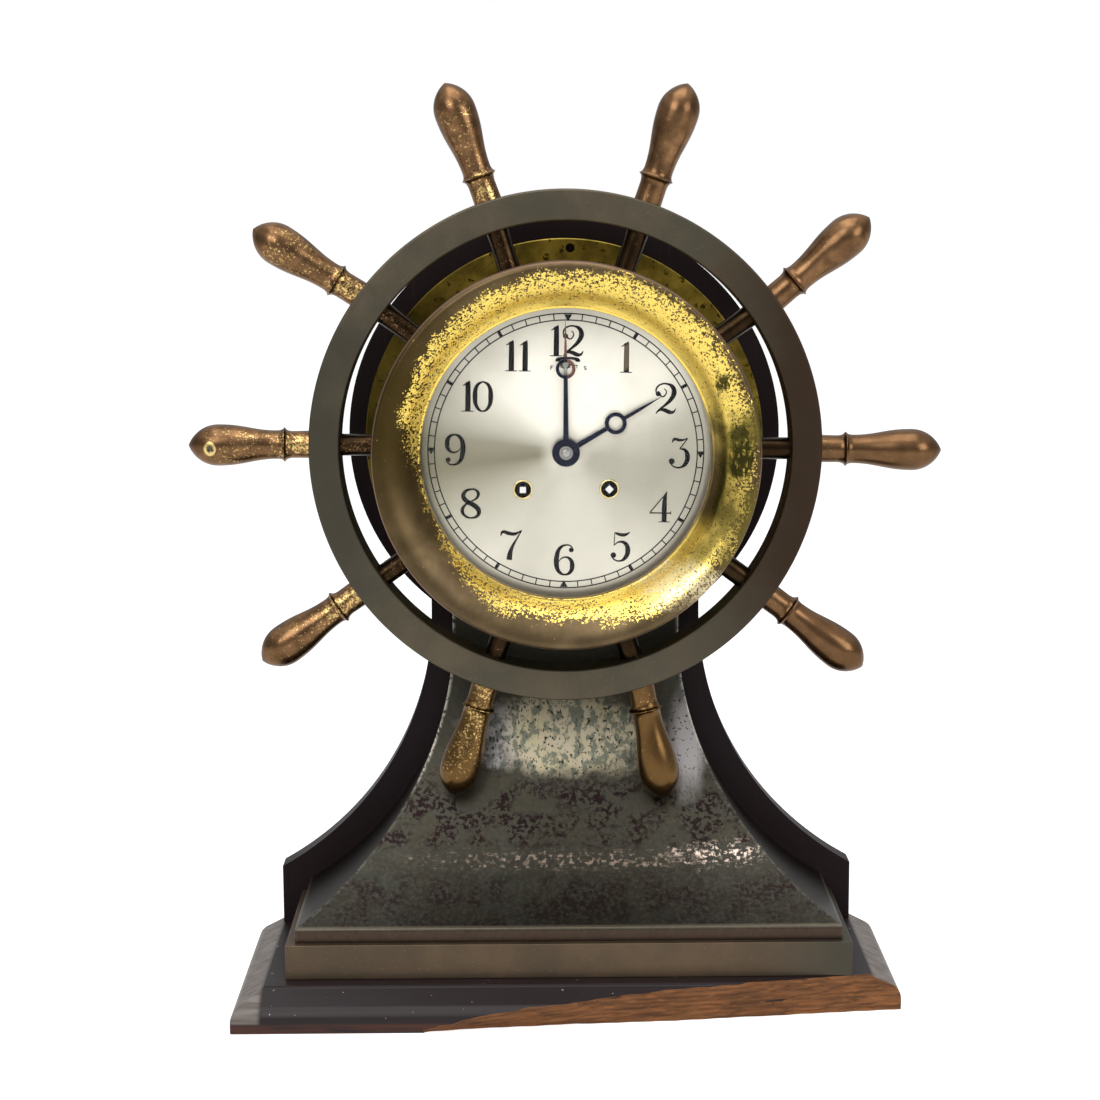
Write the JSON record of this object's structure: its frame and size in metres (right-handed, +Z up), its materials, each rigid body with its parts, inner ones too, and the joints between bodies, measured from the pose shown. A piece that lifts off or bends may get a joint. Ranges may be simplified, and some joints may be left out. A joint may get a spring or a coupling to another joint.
{
  "type": "ship wheel clock",
  "caption": "Ship wheel clock: a round case in a spoked wheel with turned handles, on a waisted pedestal with a keyhole backboard and moulded plinth, with hinged bezel and working train.",
  "frame": {"origin": "on the table, under the middle of the object's bounding box", "axes": "+Z up, -Y towards the viewer (the way the dial faces), +X to the viewer's right"},
  "size_m": [0.4036, 0.1424, 0.4902],
  "materials": {
    "plinth_wood": "dark stained, satin",
    "board_wood": "dark stained, worn edges",
    "steel_screw": "plain",
    "brass_screw": "aged",
    "band_bronze": "brown patina",
    "pedestal_bronze": "dark patina, worn",
    "rim_bronze": "dark patina, smooth",
    "case_brass": "olive patina",
    "bezel_brass": "polished, spotted",
    "steel": "plain",
    "crystal_glass": "clear",
    "movement_brass": "brushed",
    "dial_silver": "silvered, satin",
    "grommet_brass": "polished",
    "hand_steel": "blued",
    "bell_metal": "polished",
    "spoke_brass": "brown patina",
    "handle_brass": "brown patina, handled"
  },
  "bodies": {
    "stand": {"plinth": "plinth_wood", "plinth_screws": "steel_screw", "foot_band": "band_bronze", "pedestal": "pedestal_bronze", "backboard": "board_wood", "board_screws": "steel_screw", "wheel_rim": "rim_bronze", "case_drum": "case_brass", "flange_screws": "brass_screw", "bezel_hinge_pin": "steel", "bezel_catch": "steel", "dial_plate": "dial_silver", "winding_grommets": "grommet_brass", "front_plate": "movement_brass", "back_plate": "movement_brass", "plate_pillars": "steel", "movement_posts": "movement_brass", "bell": "bell_metal", "bell_post": "steel", "balance_cock": "movement_brass", "spoke_01": "spoke_brass", "spoke_02": "spoke_brass", "spoke_03": "spoke_brass", "spoke_04": "spoke_brass", "spoke_05": "spoke_brass", "spoke_06": "spoke_brass", "spoke_07": "spoke_brass", "spoke_08": "spoke_brass", "spoke_09": "spoke_brass", "spoke_10": "spoke_brass", "handle_01": "handle_brass", "handle_02": "handle_brass", "handle_03": "handle_brass", "handle_04": "handle_brass", "handle_05": "handle_brass", "handle_06": "handle_brass", "handle_07": "handle_brass", "handle_08": "handle_brass", "handle_09": "handle_brass", "handle_10": "handle_brass"},
    "bezel_door": {"bezel": "bezel_brass", "crystal": "crystal_glass", "crystal_retainer": "movement_brass"},
    "minute_train": {"center_wheel": "movement_brass", "cannon_pinion": "steel", "minute_hand": "hand_steel", "hand_nut": "steel"},
    "hour_train": {"hour_wheel": "movement_brass", "hour_hand": "hand_steel"},
    "reducing_wheel": {"minute_wheel": "movement_brass"},
    "third": {"third_wheel": "movement_brass"},
    "time_spring_barrel": {"time_barrel": "movement_brass"},
    "time_winder": {"time_arbor": "steel"},
    "strike_spring_barrel": {"strike_barrel": "movement_brass"},
    "strike_train": {"strike_wheel": "movement_brass"},
    "strike_winder": {"strike_arbor": "steel"},
    "balance": {"balance_wheel": "movement_brass"},
    "bell_hammer": {"hammer": "steel"},
    "index": {"regulator": "steel"}
  },
  "joints": [
    {"name": "bezel_hinge", "type": "hinge", "parent": "stand", "child": "bezel_door", "pos_m": [-0.098, -0.0187, 0.2981], "axis": [0, 0, -1], "range_deg": [0, 110]},
    {"name": "minute_hand_turn", "type": "hinge", "parent": "stand", "child": "minute_train", "pos_m": [0, 0.0052, 0.2981], "axis": [0, 1, 0], "continuous": true},
    {"name": "hour_hand_turn", "type": "hinge", "parent": "stand", "child": "hour_train", "pos_m": [0, 0.0052, 0.2981], "axis": [0, 1, 0], "continuous": true},
    {"name": "reducing_wheel_turn", "type": "hinge", "parent": "stand", "child": "reducing_wheel", "pos_m": [0, 0.0052, 0.2831], "axis": [0, 1, 0], "continuous": true},
    {"name": "third_wheel_turn", "type": "hinge", "parent": "stand", "child": "third", "pos_m": [-0.01014, 0.0052, 0.31717], "axis": [0, 1, 0], "continuous": true},
    {"name": "time_barrel_turn", "type": "hinge", "parent": "stand", "child": "time_spring_barrel", "pos_m": [-0.0228, 0.0052, 0.2782], "axis": [0, 1, 0], "continuous": true},
    {"name": "time_winding", "type": "hinge", "parent": "stand", "child": "time_winder", "pos_m": [-0.0228, 0.0052, 0.2782], "axis": [0, 1, 0], "range_deg": [0, 2340]},
    {"name": "strike_barrel_turn", "type": "hinge", "parent": "stand", "child": "strike_spring_barrel", "pos_m": [0.0228, 0.0052, 0.2782], "axis": [0, 1, 0], "continuous": true},
    {"name": "strike_wheel_turn", "type": "hinge", "parent": "stand", "child": "strike_train", "pos_m": [0.04225, 0.0052, 0.30138], "axis": [0, 1, 0], "continuous": true},
    {"name": "strike_winding", "type": "hinge", "parent": "stand", "child": "strike_winder", "pos_m": [0.0228, 0.0052, 0.2782], "axis": [0, 1, 0], "range_deg": [0, 2340]},
    {"name": "balance_swing", "type": "hinge", "parent": "stand", "child": "balance", "pos_m": [0, 0.0052, 0.3441], "axis": [0, 1, 0], "range_deg": [-270, 270], "stiffness_Nm_per_rad": 0.000002},
    {"name": "hammer_lift", "type": "hinge", "parent": "stand", "child": "bell_hammer", "pos_m": [-0.045, 0.0052, 0.2426], "axis": [0, 1, 0], "range_deg": [0, 14], "stiffness_Nm_per_rad": 0.01},
    {"name": "regulator_turn", "type": "hinge", "parent": "stand", "child": "index", "pos_m": [0, 0.0052, 0.3441], "axis": [0, 1, 0], "range_deg": [-30, 30]}
  ],
  "couplings": [
    {"joint": "hour_hand_turn", "follows": "minute_hand_turn", "ratio": 0.083333},
    {"joint": "reducing_wheel_turn", "follows": "minute_hand_turn", "ratio": -0.33333},
    {"joint": "third_wheel_turn", "follows": "minute_hand_turn", "ratio": -5},
    {"joint": "time_barrel_turn", "follows": "minute_hand_turn", "ratio": -0.25},
    {"joint": "strike_wheel_turn", "follows": "strike_barrel_turn", "ratio": -4}
  ]
}
